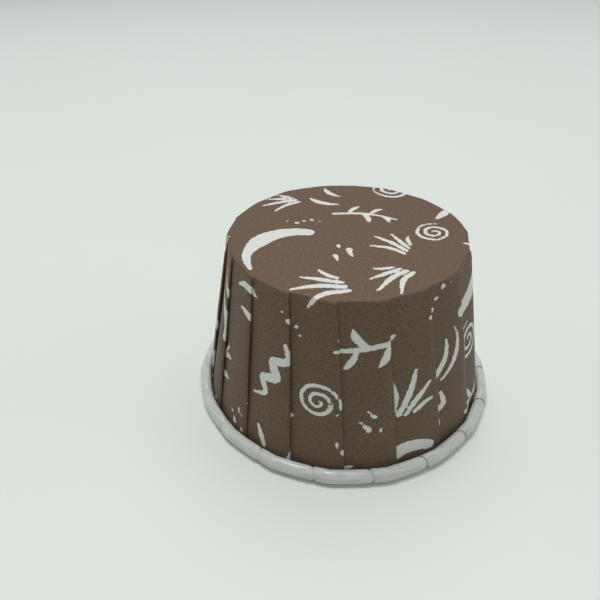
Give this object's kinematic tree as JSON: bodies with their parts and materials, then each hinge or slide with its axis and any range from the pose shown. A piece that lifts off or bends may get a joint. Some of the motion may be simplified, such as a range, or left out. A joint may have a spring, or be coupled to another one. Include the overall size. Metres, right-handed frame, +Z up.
{
  "type": "cupcake liner",
  "caption": "Paper baking cup for a cupcake, with a flat base, a tapered pleated wall and a rolled rim, standing upside down on its rim.",
  "frame": {"origin": "on the cup's axis, in the plane that the rolled rim rests on", "axes": "+Z up along the axis, from the rim to the closed base; -Y is the front, and looks straight at the middle of one pleat"},
  "size_m": [0.0682, 0.0682, 0.0382],
  "materials": {
    "printed_paper": "matt greaseproof paper, brown with a loose white pattern outside, plain white inside and so on the rolled rim"
  },
  "bodies": {
    "root": {"liner": "printed_paper"}
  },
  "joints": []
}
